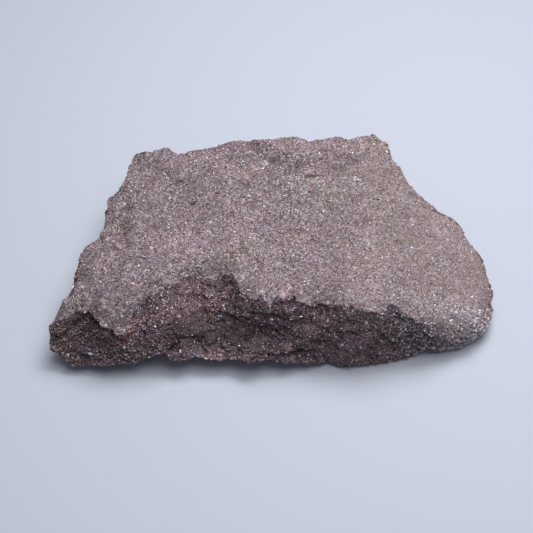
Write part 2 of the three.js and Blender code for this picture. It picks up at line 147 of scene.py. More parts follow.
BACK = {
    "axis": 0,
    "top": [
        (22.1, 21), (19.8, 21.9), (17.4, 21.1), (14.7, 20.6), (11.2, 20.7), (7.5, 19.8), (2.8, 21),
        (-1.5, 21.3), (-5.7, 21.5), (-10.4, 20.3), (-14.7, 19), (-17.3, 18.5), (-19.7, 19.7),
        (-22.6, 18.8), (-25.5, 18.1),
    ],
    "brow": [
        (22.9, 19.8, 8.5), (19.5, 21.9, 9), (16, 22, 7.6), (12, 20.9, 8.6), (8, 21.3, 8.2),
        (3, 20.9, 9), (-2, 21.9, 7.4), (-8, 21.2, 8.7), (-13, 19.6, 8.2), (-17, 19.5, 7.6),
        (-22, 19.2, 8.2), (-25.9, 17.2, 8),
    ],
    "foot": [
        (21.9, 18.8, 3), (17.5, 20.4, 2.2), (12, 20.2, 3.2), (5, 20, 2), (0, 20.7, 2.6), (-6, 20.2, 2.2),
        (-12, 18.9, 3.2), (-18, 18.3, 2.6), (-23.2, 17.2, 3.2), (-25.1, 15.9, 3),
    ],
}
LEFT = {
    "axis": 1,
    "top": [
        (-25.5, 18.1), (-26.7, 15.2), (-27.3, 11.5), (-28.1, 9.6), (-29.8, 7.6), (-29.4, 4.3), (-30.1, 1.2),
        (-30.5, -1.1), (-32.6, -2.5), (-34.2, -4.8), (-34.5, -8.9), (-34.8, -12.8), (-36.5, -15.3),
        (-38.3, -17.7),
    ],
    "brow": [
        (-25.9, 17.2, 8), (-27.2, 13.4, 8.4), (-28.6, 10.2, 7.2), (-30.2, 6.4, 7.8), (-30.9, 2, 7),
        (-32.6, -1.6, 7.8), (-34.7, -5.2, 6.6), (-35.6, -9.6, 7.4), (-36.9, -13.2, 6.8), (-38.9, -19.2, 5.4),
    ],
    "foot": [
        (-25.1, 15.9, 3), (-27, 11.6, 2.4), (-28.6, 7, 3), (-30.4, 2.4, 2.2), (-31.8, -2, 2.8),
        (-34, -6.6, 2.2), (-34.9, -11, 2.8), (-37, -17, 2), (-36.8, -20.2, 2),
    ],
}
SIDES = (FRONT, RIGHT, BACK, LEFT)
RIM_OUTLINE = [corner for side in SIDES for corner in side["top"][:-1]]

# Slits and undercuts across the front: from x, to x, height at each end,
# height of the band and depth. A negative depth stands out.
FRONT_RECESSES_MM = [
    (-12.2, -8.4, 13.9, 13.9, 1.5, 1.0),  # under the bite's rim
    (-9.4, -5.6, 13.2, 12.4, 1.3, 1.0),  # right of that
    (-14, 0.5, 8.2, 7.4, 2.4, 1.1),  # waist of the bite
    (-7.5, 7, 9.6, 6.6, 3.2, 0.8),  # hollow that runs down to the right
    (-1.5, 3.2, 10.6, 10.4, 1.6, 0.9),  # right of the bite
    (-0.5, 9, 4.8, 4.0, 1.2, 1.6),  # long slit over the foot
    (7.3, 12.2, 9.3, 9.0, 1.1, 1.1),  # middle slit
    (9.5, 17.2, 8.4, 9.6, 1.3, 1.0),  # right middle slit
    (6, 12, 6.6, 6.4, 0.8, 0.8),  # low slit
    (14.3, 19.8, 14.0, 13.8, 0.9, 1.0),  # slit under the rim
    (-6.4, -3.8, 13.8, 13.6, 0.9, 0.9),  # right corner of the bite
    (-5, -0.8, 12.4, 11.8, 0.9, 0.6),  # below that corner
    (4.8, 13.2, 13.4, 12.8, 1.8, 1.2),  # undercut of the rim
    (-13.2, -11.4, 11.4, 8.4, 0.8, 1.0),  # left edge of the bite
    (-18.9, -15.6, 4.6, 6.3, 1.6, 2.4),  # overhang at the foot
    (-33.0, -29.2, 12.2, 11.2, 2.2, 3.0),  # notch in the left block
    (-30.6, -27.0, 10.8, 9.0, 1.5, 2.2),  # crack below the notch
    (-28.4, -24.6, 9.6, 7.4, 1.2, 1.5),  # end of that crack
    (-35.2, -32.0, 7.4, 10.7, 1.1, 1.4),  # crack in the left block
    (-39.2, -34.8, 5.0, 7.4, 1.0, 1.3),  # slit at the left tip
    (-29.2, -26.6, 7.8, 7.6, 0.7, 0.8),  # short slit by the crack
    (-35.2, -32.2, 3.6, 3.2, 1.4, 1.0),  # pocket at the left foot
    (-13.2, -11.4, 5.4, 4.6, 2.4, 1.1),  # pocket by the low ledge
    (-12, 5.5, 5.2, 5.0, 3.4, -1.0),  # low ledge
    (7.2, 9.8, 14.4, 14.4, 1.0, -0.7),  # ledge under the rim
    (24, 31, 6.5, 5.5, 1.2, 0.8),  # right end slit
    (17.2, 23.6, 10.6, 3.2, 1.9, 0.7),  # left flute, slanting down to the right
    (19.8, 27.0, 13.0, 4.2, 2.0, 0.8),  # middle flute
    (22.8, 29.6, 11.6, 3.4, 1.8, 0.7),  # right flute
]
# A slit's section over its band's height, and any recess's ends over its
# length, as shares: where each starts, is full, is past and ends.
SLIT_SECTION = (-0.9, 0.1, 0.15, 0.5)
RECESS_ENDS = (-0.02, 0.3, 0.7, 1.02)
# Half the height of a ledge that stands out, as a share of its band.
LEDGE_HALF = 0.5
# What breaks up a recess's ends, middle line and depth: length, height and
# reach of a random field. One without end in height depends on the length
# alone. The depth's field is added to its usual share.
END_BREAKS_MM = (0.9, 0.5, 0.12)
LINE_BREAKS_MM = [(1.3, math.inf, 0.3), (0.45, 0.9, 0.22)]
DEPTH_BREAKS_MM = (0.8, 0.35, 0.45)
USUAL_DEPTH = 0.75

# The top's rounded and chipped shoulder along the rim: how far it drops at
# the rim, how much further along the front, how far forward from the middle
# that starts and is full, the shoulder's width and steepness, and the drop's
# random share as length, reach, seed.
SHOULDER_DROP_MM = 0.35
FRONT_SHOULDER_DROP_MM = 0.95
FRONT_SHOULDER_FROM_MM = (5, 10)
SHOULDER_WIDTH_MM = 1.2
SHOULDER_STEEPNESS = 1.5
SHOULDER_CHIPS_MM = [(1.9, 0.7, 61.0), (0.8, 0.5, 63.0)]

# Broken beds, coarse and fine: thickness, run along the side, reach, seed.
BEDS_MM = [(2.3, 3.5, 0.42, 1.7), (1.0, 1.3, 0.26, 5.1), (0.45, 0.6, 0.15, 9.4)]
# How a bed's level wanders, as a share of its thickness: over a long way
# (share, length) and over a short one (share, length, height).
BED_LONG_WANDER_MM = (0.7, 7)
BED_SHORT_WANDER_MM = (0.6, 1.8, 1.5)
# Where in a bed's thickness the step to the next one lies, and how far apart
# two beds' random fields are.
BED_STEP = (0.38, 0.62)
BED_SEED_STEP = 7.3
# The coarse beds dip down to the right from this place on, this steeply.
BED_DIP_FROM_MM = 20
BED_DIP = 0.55
# Between these places along the front, the fine beds slant down to the right
# as flutes, this steeply.
FLUTES_MM = (17.0, 33.0)
FLUTE_DIP = 1.2
# Lumps on the broken sides: length, height, reach.
LUMPS_MM = [(3.2, 2.0, 0.4), (1.5, 0.9, 0.2), (0.6, 0.45, 0.12)]
# Short cracks on the broken sides, where a random field passes through 0:
# length, height, half width as a share of the field's reach, depth, seed.
CRACKS_MM = [(2.6, 0.9, 0.10, 0.7, 3.9), (1.1, 0.5, 0.14, 0.4, 6.1)]
# Waves of the top: length, height, seed.
TOP_WAVES_MM = [(9, 0.5, 3.3), (4, 0.3, 7.7), (1.9, 0.18, 11.1), (0.8, 0.1, 4.1)]
# Raggedness of the rim and the foot in plan, and of the foot's height: length,
# reach, seed.
RIM_RAGGED_MM = [(2.6, 0.3, 21.0), (1.0, 0.2, 23.0)]
FOOT_RAGGED_MM = [(2.6, 0.4, 31.0), (0.9, 0.15, 33.0)]
FOOT_LIFT_MM = [(2.2, 0.35, 37.0)]

# How much a side faces the front, from its outward direction.
FRONT_FACING = (0.2, 0.6)
# Shares of the way down a side: where the rim's calmer edge ends, where the
# foot's starts, and where recesses start, are full, are past and end.
RIM_EDGE = (0, 0.15)
FOOT_EDGE = (0.9, 1)
RECESS_ROOM = (0, 0.07, 0.93, 1)
# How much calmer the breaks are there: at the rim, how much less so at the
# front's rim, and at the foot.
RIM_CALM = 0.7
FRONT_RIM_LESS = 0.25
FOOT_CALM = 0.6

# The underside: how far in the foot's height dies away and how steeply, its
# roughness as length, reach, seed, how far that sinks it, and how far in the
# roughness is full.
UNDER_CURVE_MM = 4.5
UNDER_STEEPNESS = 1.3
UNDER_ROUGH_MM = [(8, 0.6, 41.0), (2.5, 0.25, 43.0)]
UNDER_SINK_MM = 0.35
UNDER_ROUGH_FROM_MM = 3

# Half the slab's length and depth.
HALF_LONG_MM = 39.5
HALF_DEEP_MM = 22.0
# Middle of the finished outline in plan, which is moved onto the origin.
MIDDLE_MM = (0.79, -0.19, 0)

# Layout of the texture map: the side's strip in bands below, the two caps
# next to each other above, half the map's width each.
SIDE_BANDS = 3
SIDE_BAND_HEIGHT = 0.12
CAP_WIDTH = 0.5
MAP_GAP = 0.006

# What random numbers at whole places come from: a turn for a step along each
# axis, and the size of the sine.
KNOT_TURNS = (127.1, 311.7, 74.7)
KNOT_SCALE = 43758.5453

# The surface's three regions, and whether each is freshly broken stone.
SIDE, TOP, UNDER = range(3)
BROKEN = {SIDE: 1.0, TOP: 0.0, UNDER: 1.0}

# --------------------------------------------------- the grains' measures
# One grain is two four-sided pyramids base to base, pulled out of true.
GRAIN_SIDES = 4
GRAIN_TIP = 0.95
GRAIN_CORNERS = np.array(
    [(math.cos(a), math.sin(a), 0.0) for a in np.arange(GRAIN_SIDES) * math.tau / GRAIN_SIDES]
    + [(0, 0, GRAIN_TIP), (0, 0, -GRAIN_TIP)]
)
GRAIN_FACES = np.array(
    [(n, (n + 1) % GRAIN_SIDES, GRAIN_SIDES) for n in range(GRAIN_SIDES)]
    + [((n + 1) % GRAIN_SIDES, n, GRAIN_SIDES + 1) for n in range(GRAIN_SIDES)]
)
# Spread of the sizes, least and most stretch along an axis, spread of a
# corner's place, and least and most depth of a middle as a share of the usual.
GRAIN_SIZE_SPREAD = 0.25
GRAIN_STRETCH = (0.75, 1.2)
GRAIN_JITTER = 0.1
GRAIN_DEPTHS = (-0.4, 2.4)
# A flake's depth as a share of its radius, and how much thinner it is than a
# grain.
FLAKE_SUNK = 0.1
FLAKE_FLAT = 0.75
# A grain's plan in its square of the texture map, and the middles of its
# upper and lower halves.
GRAIN_MAP_SCALE = (0.2, 0.42)
UPPER_HALF, LOWER_HALF = 0.25, 0.75
# Where flakes gather on the finished slab, their near-white colour partly painted glints: x, y, reach along x
# and y, and how many times more.
GLITTER_MM = [
    (23.0, -16.8, 4, 2.2, 16),  # over the flutes
    (33, -14.8, 6, 2.8, 24),  # front right corner
    (-24, -20, 5, 4, 4),  # front at the left
    (-24.5, 9, 4, 3, 1.5),  # left back
    (-10, -9, 8, 4, 1),  # behind the bite
]
# Pieces of grains: name, region, kind, share of the region's cells that hold
# one, and number of pieces.
GRAIN_PIECES = [
    ("side_grains", SIDE, "sand", 0.99, 2),
    ("top_grains", TOP, "sand", 2.2, 3),
    ("under_grains", UNDER, "sand", 0.5, 1),
    ("side_flakes", SIDE, "flake", 0.045, 1),
    ("top_flakes", TOP, "flake", 0.09, 1),
]

# ------------------------------------------------- the finishes' measures
# Cloudy stains: patterns to a millimetre, detail, darkest and palest factor.
CLOUDS = [(0.11, 3, 0.86, 1.12), (0.55, 4, 0.8, 1.16)]
# Stains and painted light and shade in one place of the finished slab: centre, reach along each axis and
# tint.
# The clay patch, the greenish patch, the redder front at the left and the corner's blue are the stone's own
# colour;
# most marks on the front, the lobes and the left facet are painted shade in pits, cracks, hollows and on
# slopes, and painted light on ledges, facets and the right lobe.
STAINS_AND_PAINTED_LIGHT_MM = [
    ((-27.2, 8.4, 13.8), (1.7, 1.2, 2), (1.45, 1.46, 1.48)),  # clay patch at the left
    ((-15.2, 5.4, 15.2), (1.2, 0.6, 2), (0.40, 0.38, 0.38)),  # small pit, darkened as painted shade
    ((7.4, 11.9, 15.5), (3.2, 0.6, 2), (0.30, 0.29, 0.29)),  # painted shade along the crack in front of the left lobe
    ((11.2, 13.7, 15.5), (3.2, 1.7, 2), (0.66, 0.64, 0.65)),  # painted shade in the gap between the lobes
    ((-2.0, 18.6, 15.5), (2.2, 2.6, 2), (0.76, 0.76, 0.77)),  # painted shade on the back of the left lobe's sloping edge
    ((0.6, 15.8, 15.5), (2.6, 1.9, 2), (0.76, 0.76, 0.77)),  # painted shade on the middle of the left lobe's sloping edge
    ((3.2, 13.4, 15.5), (2.8, 1.5, 2), (0.74, 0.73, 0.74)),  # painted shade on the front of the left lobe's sloping edge
    ((8.0, 7.8, 15.5), (6.5, 4.0, 2), (0.99, 1.05, 1.04)),  # greenish patch before the lobes
    ((-2.8, -18.3, 7.6), (8.5, 5, 3.0), (0.72, 0.71, 0.71)),  # painted shade in the hollow in the front
    ((-16.3, -15.5, 11.5), (5.5, 5, 3), (1.68, 1.67, 1.67)),  # painted light on the facet left of the bite
    ((-11.5, -19, 7.2), (9.5, 5, 3.9), (0.48, 0.48, 0.48)),  # painted shade under the bite
    ((-24.0, -20.5, 8.5), (8, 5, 4.5), (1.12, 0.95, 0.95)),  # pale front at the left
    ((-10.0, -13.3, 12.0), (6, 4.5, 3.3), (1.48, 1.46, 1.49)),  # painted light inside the bite
    ((32.5, -16.5, 6.5), (8, 5, 4.5), (0.86, 0.86, 0.94)),  # bluish corner at the right, also darkened as painted shade
    ((-9.0, -21.0, 3.6), (9, 4, 2.6), (1.94, 1.90, 1.98)),  # painted light on the low ledge under the bite
    ((-9.8, -10.5, 14.1), (3.0, 1.2, 1.5), (0.42, 0.40, 0.40)),  # painted shade in the crack under the bite's rim
    ((-1.5, -16.7, 13.4), (5.5, 3, 2.6), (1.60, 1.57, 1.59)),  # painted light on the shoulder right of the bite
    ((11.0, -19.8, 7.6), (12, 4, 3.0), (1.38, 1.33, 1.35)),  # painted light on the low middle of the front
    ((24.6, -17.6, 6.4), (7.5, 5, 5.4), (0.46, 0.46, 0.49)),  # painted shade in the flutes
    ((-31.0, -17.6, 10.5), (2.8, 2.4, 3.2), (0.44, 0.42, 0.42)),  # painted shade in the notch in the left block
    ((-28.2, -19.4, 8.6), (2.4, 2.0, 1.6), (0.50, 0.48, 0.48)),  # painted shade in the crack from the notch
    ((-27.8, -12.0, 13.4), (2.2, 3.2, 3.0), (0.72, 0.70, 0.72)),  # painted shade on the left facet, which slopes away from the light
    ((15.5, 17.5, 16.0), (7, 4, 4), (1.18, 1.20, 1.20)),  # painted light on the right lobe
    ((-19.0, 10.0, 14.5), (14, 11, 9), (0.87, 0.86, 0.89)),  # darker left back
]
# Cloudy changes of hue: patterns to a millimetre, detail.
HUE_CLOUDS = [(0.07, 2), (0.3, 2)]
# Places of the clouds' darkest and palest tint, and of the clouds' olive,
# plain and rosy tint, on a noise from 0 to 1.
CLOUD_STOPS = (0.32, 0.68)
HUE_STOPS = (0.35, 0.5, 0.65)
# Shares of the reach of a stain, or of painted light and shade, where it is full and where it ends.
MARK_FADE = (0.2, 1.0)
# Where the warm stain of the right end starts and is full, and how strong it
# is there.
WARM_FROM_MM = (4, 30)
WARM_SHARE = 0.32
# The cement between the grains: speckles to a millimetre and where its colours
# stand on a ramp, duller patches to a millimetre with their range of the noise
# and of roughness, and the depths of its two bumps.
SPECKLES = 3.2
SPECKLE_STOPS = (0.0, 0.45, 0.8, 1.0)
CEMENT_PATCHES = 2.0
PATCH_RANGE = (0.3, 0.7)
CEMENT_ROUGHNESS = (0.72, 0.95)
SPECKLE_BUMP_MM = 0.12
FINE_BUMPS = 7.0
FINE_BUMP_MM = 0.05
# Roughness of the dullest and the glossiest flake and grain, and how strongly
# each bends light.
FLAKE_ROUGHNESS = (0.32, 0.12)
FLAKE_IOR = 1.9
GRAIN_ROUGHNESS = (0.75, 0.16)
GRAIN_IOR = 1.6

# ---------------------------------------------------- the stage's measures
FLOOR_HALF_SIZE = 1.5
FLOOR_ROUGHNESS = 0.8
# Lights: name, factor on the light power, place, and size across and along.
STAGE_LIGHTS = [
    ("overhead", 0.74, (0.045, -0.01, 0.25), (0.24, 0.18)),
    ("behind", 0.90, (0.048, 0.092, 0.25), (0.18, 0.12)),
]
SURROUND_COLOUR = (0.85, 0.88, 1.0)
SURROUND_STRENGTH = 0.16
CAMERA_AIM = (-1.49 * MM, -3.91 * MM, 8 * MM)
SENSOR_WIDTH = 36.0


def knot(i, j, k):
    """A repeatable random number from 0 to 1 at a whole place: the fraction of a large sine."""
    by_i, by_j, by_k = KNOT_TURNS
    s = np.sin(i * by_i + j * by_j + k * by_k) * KNOT_SCALE
    return s - np.floor(s)


def smoothstep(value, low, high):
    """0 below low, 1 above high, and 3t^2 - 2t^3 between."""
    t = np.clip((value - low) / (high - low), 0, 1)
    return t * t * (3 - 2 * t)


def hump(value, start, full, past, end):
    """0, rising smoothly to 1 between start and full, and falling back to 0 between past and end."""
    return smoothstep(value, start, full) * (1 - smoothstep(value, past, end))


def noise(x, y, z):
    """A smooth random field from -1 to 1: the eight knots round a place, blended by smoothsteps."""
    x, y, z = np.broadcast_arrays(*(np.asarray(a, float) for a in (x, y, z)))
    i, j, k = np.floor(x), np.floor(y), np.floor(z)
    u, v, w = (smoothstep(t, 0, 1) for t in (x - i, y - j, z - k))
    total = np.zeros(x.shape)
    for a, along_x in ((0, 1 - u), (1, u)):
        for b, along_y in ((0, 1 - v), (1, v)):
            for c, along_z in ((0, 1 - w), (1, w)):
                total += knot(i + a, j + b, k + c) * along_x * along_y * along_z
    return 2 * total - 1


def roughness(x, y, layers):
    """Random steps in plan of several lengths: the sum of fields given as length, reach, seed."""
    return sum(reach * noise(x / long, y / long, seed) for long, reach, seed in layers)


def depth_inside(x, y, outline):
    """Distance to a closed outline, above 0 inside it: the nearest edge, signed by counting crossings."""
    nearest = np.full(np.shape(x), np.inf)
    inside = np.zeros(np.shape(x), bool)
    for (ax, ay), (bx, by) in zip(outline, outline[1:] + outline[:1]):
        run, rise = bx - ax, by - ay
        share = np.clip(((x - ax) * run + (y - ay) * rise) / (run**2 + rise**2), 0, 1)
        nearest = np.minimum(nearest, np.hypot(x - ax - share * run, y - ay - share * rise))
        if rise:
            inside ^= ((ay > y) != (by > y)) & (x < ax + run * (y - ay) / rise)
    return np.where(inside, nearest, -nearest)


def shoulder_drop(x, y):
    """How far the top has worn down towards its rim: a rounded shoulder, deeper in random chips."""
    inside = np.maximum(depth_inside(x, y, RIM_OUTLINE), 0)
    drop = SHOULDER_DROP_MM + FRONT_SHOULDER_DROP_MM * smoothstep(-y, *FRONT_SHOULDER_FROM_MM)
    chips = 1 + roughness(x, y, SHOULDER_CHIPS_MM)
    return drop * chips * np.exp(-((inside / SHOULDER_WIDTH_MM) ** SHOULDER_STEEPNESS))


def top_height(x, y):
    """Height of the bedding face: the lowest plane at a place, with its edges rounded, plus layers and waves,
    less pits and the shoulder's drop."""
    heights = [h + right * x + back * y for h, right, back in TOP_PLANES_MM]
    total = sum(np.exp(-h / FACET_ROUNDING_MM) for h in heights)
    height = -FACET_ROUNDING_MM * np.log(total)
    raised, sunk = np.zeros(height.shape), np.zeros(height.shape)
    for thick, slope, outline in LAYERS_MM:
        ragged = roughness(x, y, [(long, reach, thick) for long, reach in LAYER_RAGGED_MM])
        part = thick * smoothstep(depth_inside(x, y, outline) + ragged, -slope / 2, slope / 2)
        raised, sunk = np.maximum(raised, part), np.minimum(sunk, part)
    height = height + raised + sunk
    for px, py, radius, depth in PITS_MM:
        height = height - depth * np.exp(-((x - px) ** 2 + (y - py) ** 2) / radius**2)
    for long, high, seed in TOP_WAVES_MM:
        height = height + high * noise(x / long, y / long, seed)
    return height - shoulder_drop(x, y)


def side_breaks(x, z, seed, long, high, reach):
    """A random field over a side, of a given length, height and reach."""
    return reach * noise(x / long, z / high, seed)


def recess_depth(x, z):
    """How far recesses take the front in: a slit is deepest under its upper lip, and a ledge stands out like
    a bell. Both fade at their ends, and random fields shift them, so that their edges are broken."""
    depth = np.zeros(np.broadcast(x, z).shape)
    for start, end, high_a, high_b, band, deep in FRONT_RECESSES_MM:
        share = (x - start) / (end - start) + side_breaks(x, z, high_a, *END_BREAKS_MM)
        wander = sum(side_breaks(x, z, high_a, *breaks) for breaks in LINE_BREAKS_MM)
        middle = high_a + (high_b - high_a) * np.clip(share, 0, 1) + wander
        up = (z - middle) / band
        section = hump(up, *SLIT_SECTION) if deep > 0 else np.exp(-((up / LEDGE_HALF) ** 2))
        broken = USUAL_DEPTH + side_breaks(x, z, high_a + 3, *DEPTH_BREAKS_MM)
        depth = depth + deep * section * hump(share, *RECESS_ENDS) * broken
    return depth


def bed_reach(x, y, z, thick, run, seed):
    """Reach of whole beds: random along the run, the same through one bed, with a sharp step to the next."""
    long_share, long = BED_LONG_WANDER_MM
    short_share, short, high = BED_SHORT_WANDER_MM
    level = z / thick + long_share * noise(x / long, y / long, seed)
    level = level + short_share * noise(x / short, y / short, z / high + seed)
    bed = np.floor(level)
    lower = noise(x / run, y / run, bed * BED_SEED_STEP + seed)
    upper = noise(x / run, y / run, (bed + 1) * BED_SEED_STEP + seed)
    share = smoothstep(level - bed, *BED_STEP)
    return lower * (1 - share) + upper * share


def broken_depth(x, y, z, detail):
    """How far a broken side stands in: its beds, coarse and fine, plus lumps of three sizes and cracks.
    Detail is the share of all but the coarsest bed and lump, which run straight on where the rest slants as
    flutes."""
    dipped = z + BED_DIP * np.maximum(0, x - BED_DIP_FROM_MM)
    fluted = z + FLUTE_DIP * (np.clip(x, *FLUTES_MM) - FLUTES_MM[0])
    shares_and_levels = ((1, dipped), (detail, fluted), (detail, fluted))
    depth = np.zeros(np.broadcast(x, z).shape)
    for (share, level), (thick, run, reach, seed) in zip(shares_and_levels, BEDS_MM):
        depth = depth + share * reach * bed_reach(x, y, level, thick, run, seed)
    for (share, level), (long, high, reach) in zip(shares_and_levels, LUMPS_MM):
        depth = depth + share * reach * noise(x / long, y / long, level / high)
    for long, high, half_width, deep, seed in CRACKS_MM:
        field = np.abs(noise(x / long + seed, y / long, fluted / high))
        depth = depth + detail * deep * np.clip(1 - field / half_width, 0, 1)
    return depth


def points_along(corners, axis, share):
    """Points at given shares of the way along a line of corners, measured on one plan axis."""
    corners = np.array(corners, float)
    place = (corners[:, axis] - corners[0, axis]) / (corners[-1, axis] - corners[0, axis])
    return np.column_stack([np.interp(share, place, column) for column in corners.T])


def side_lines(cells_along, cells_deep):
    """Rim, brow and foot all round from the front's left end, and the outward direction in plan."""
    lines = {}
    for name in ("top", "brow", "foot"):
        parts = []
        for side in SIDES:
            cells = cells_along if side["axis"] == 0 else cells_deep
            parts.append(points_along(side[name], side["axis"], np.arange(cells) / cells))
        lines[name] = np.vstack(parts)
    brow, foot, rim = lines["brow"], lines["foot"], lines["top"]
    out = brow[:, :2] / (HALF_LONG_MM**2, HALF_DEEP_MM**2)
    out /= np.linalg.norm(out, axis=1, keepdims=True)
    rim = rim - out * roughness(*rim.T, RIM_RAGGED_MM)[:, None]
    foot_x, foot_y = foot[:, :2].T.copy()
    foot[:, :2] -= out * roughness(foot_x, foot_y, FOOT_RAGGED_MM)[:, None]
    foot[:, 2] += roughness(foot_x, foot_y, FOOT_LIFT_MM)
    rim = np.column_stack([rim, top_height(rim[:, 0], rim[:, 1])])
    return rim, brow, foot, out


def side_surface(rim, brow, foot, out, cells_high):
    """The broken side: straight from rim to brow to foot, pushed in along the outward direction."""
    down = np.linspace(0, 1, cells_high + 1)[:, None]
    upper = rim[None] + (brow - rim)[None] * (2 * down)[..., None]
    lower = brow[None] + (foot - brow)[None] * (2 * down - 1)[..., None]
    surface = np.where(down[..., None] < 0.5, upper, lower)
    x, y, z = np.moveaxis(surface, -1, 0)
    frontness = smoothstep(-out[:, 1], *FRONT_FACING)
    near_rim = 1 - smoothstep(down, *RIM_EDGE)
    detail = 1 - near_rim * (RIM_CALM - FRONT_RIM_LESS * frontness)
    broken = broken_depth(x, y, z, detail) * (1 - FOOT_CALM * smoothstep(down, *FOOT_EDGE))
    depth = broken + recess_depth(x, z) * frontness * hump(down, *RECESS_ROOM)
    surface[..., :2] -= out * depth[..., None]
    surface[0, :, 2] = top_height(surface[0, :, 0], surface[0, :, 1])
    return surface


def coons_patch(ring, cells_along, cells_deep):
    """A surface inside a closed ring: front-back blend plus left-right blend less the corner blend."""
    a, d = cells_along, cells_deep
    front = ring[: a + 1]
    right = ring[a : a + d + 1]
    back = ring[a + d : 2 * a + d + 1][::-1]
    left = np.vstack([ring[2 * a + d :], ring[:1]])[::-1]
    s = np.linspace(0, 1, a + 1)[:, None, None]
    t = np.linspace(0, 1, d + 1)[None, :, None]
    front_back = (1 - t) * front[:, None] + t * back[:, None]
    left_right = (1 - s) * left[None] + s * right[None]
    corners = (1 - s) * (1 - t) * front[0] + s * (1 - t) * front[-1]
    corners = corners + (1 - s) * t * back[0] + s * t * back[-1]
    return front_back + left_right - corners


def underside_height(patch):
    """The foot's height dies away inwards, roughness is added, and what would reach the floor is flat."""
    cells_along, cells_deep = patch.shape[0] - 1, patch.shape[1] - 1
    i = np.arange(cells_along + 1)[:, None]
    j = np.arange(cells_deep + 1)[None]
    from_end = np.minimum(i, cells_along - i) * (2 * HALF_LONG_MM / cells_along)
    from_side = np.minimum(j, cells_deep - j) * (2 * HALF_DEEP_MM / cells_deep)
    inside = np.minimum(from_end, from_side)
    x, y, foot = np.moveaxis(patch, -1, 0)
    rough = roughness(x, y, UNDER_ROUGH_MM) - UNDER_SINK_MM
    rise = foot * np.exp(-((inside / UNDER_CURVE_MM) ** UNDER_STEEPNESS))
    return np.maximum(0, rise + rough * smoothstep(inside, 0, UNDER_ROUGH_FROM_MM))


def cell_corners(values):
    """The four corner values of every cell of a grid, counterclockwise as rows run on and columns run up."""
    corners = [values[:-1, :-1], values[1:, :-1], values[1:, 1:], values[:-1, 1:]]
    stacked = np.stack(corners, 2)
    return stacked.reshape(-1, 4, *values.shape[2:])


def side_map(rows, columns):
    """Texture places of the side's cells: the strip round the slab cut into bands, one above another."""
    row, column = np.mgrid[0:rows, 0:columns]
    per_band = columns // SIDE_BANDS
    band = np.minimum(column // per_band, SIDE_BANDS - 1)
    longest = columns - (SIDE_BANDS - 1) * per_band
    places = []
    for step_down, step_on in ((0, 0), (1, 0), (1, 1), (0, 1)):
        u = MAP_GAP + (1 - 2 * MAP_GAP) * (column + step_on - band * per_band) / longest
        v = SIDE_BAND_HEIGHT * (band + MAP_GAP + (1 - 2 * MAP_GAP) * (row + step_down) / rows)
        places.append(np.stack([u, v], -1))
    return np.stack(places, 2).reshape(-1, 4, 2)


def cap_map(cells_along, cells_deep, left):
    """Texture places of a cap's grid corners: a tall rectangle over the side's bands."""
    i, j = np.mgrid[0 : cells_along + 1, 0 : cells_deep + 1]
    bottom = SIDE_BANDS * SIDE_BAND_HEIGHT
    u = left + MAP_GAP + (CAP_WIDTH - 2 * MAP_GAP) * j / cells_deep
    v = bottom + MAP_GAP + (1 - bottom - 2 * MAP_GAP) * i / cells_along
    return np.stack([u, v], -1)


def ring_places(cells_along, cells_deep):
    """Which point of the ring lies at each border point of a cap's grid, counterclockwise from its front left
    corner, and -1 inside the grid."""
    a, d = cells_along, cells_deep
    places = -np.ones((a + 1, d + 1), int)
    places[:, 0] = np.arange(a + 1)
    places[a] = a + np.arange(d + 1)
    places[:, d] = 2 * a + d - np.arange(a + 1)
    places[0, 1:] = 2 * (a + d) - np.arange(1, d + 1)
    return places


@functools.cache
def slab_surface(cells_along, cells_deep, cells_high):
    """The closed surface in metres, from the side, the top patch and the underside patch: points, then
    (quads, texture places) of each of the three."""
    rim, brow, foot, out = side_lines(cells_along, cells_deep)
    side = side_surface(rim, brow, foot, out, cells_high)
    rim, foot = side[0], side[-1]
    rows, columns = side.shape[:2]
    side_index = np.arange(rows * columns).reshape(rows, columns)
    wrapped = np.hstack([side_index, side_index[:, :1]])
    points = [side.reshape(-1, 3)]
    regions = [(cell_corners(wrapped), side_map(rows - 1, columns))]

    on_ring = ring_places(cells_along, cells_deep)
    inner = on_ring < 0
    for ring, edge, is_top in ((rim[:, :2], side_index[0], True), (foot, side_index[-1], False)):
        patch = coons_patch(ring, cells_along, cells_deep)
        height = top_height(patch[..., 0], patch[..., 1]) if is_top else underside_height(patch)
        filled = np.dstack([patch[..., :2], height])
        index = np.where(inner, 0, edge[on_ring])
        index[inner] = sum(map(len, points)) + np.arange(inner.sum())
        points.append(filled[inner])
        corners = cell_corners(index)
        places = cell_corners(cap_map(cells_along, cells_deep, 0 if is_top else CAP_WIDTH))
        if not is_top:
            corners, places = corners[:, ::-1], places[:, ::-1]
        regions.append((corners, places))
    return (np.vstack(points) - MIDDLE_MM) * MM, regions


def make_mesh_object(name, points, faces, places, smooth):
    """A mesh object at the origin from arrays of points, faces of one size and their texture places."""
    mesh = bpy.data.meshes.new(name)
    size = faces.shape[1]
    mesh.vertices.add(len(points))
    mesh.vertices.foreach_set("co", np.asarray(points, np.float32).ravel())
    mesh.loops.add(faces.size)
    mesh.loops.foreach_set("vertex_index", faces.ravel().astype(np.int32))
    mesh.polygons.add(len(faces))
    mesh.polygons.foreach_set("loop_start", np.arange(0, faces.size, size, dtype=np.int32))
    mesh.update(calc_edges=True)
    layer = mesh.uv_layers.new(name="OFBake")
    layer.uv.foreach_set("vector", places.astype(np.float32).ravel())
    mesh.validate()
    if smooth:
        mesh.shade_smooth()
    else:
        mesh.shade_flat()
    made = bpy.data.objects.new(name, mesh)
    bpy.context.scene.collection.objects.link(made)
    return made


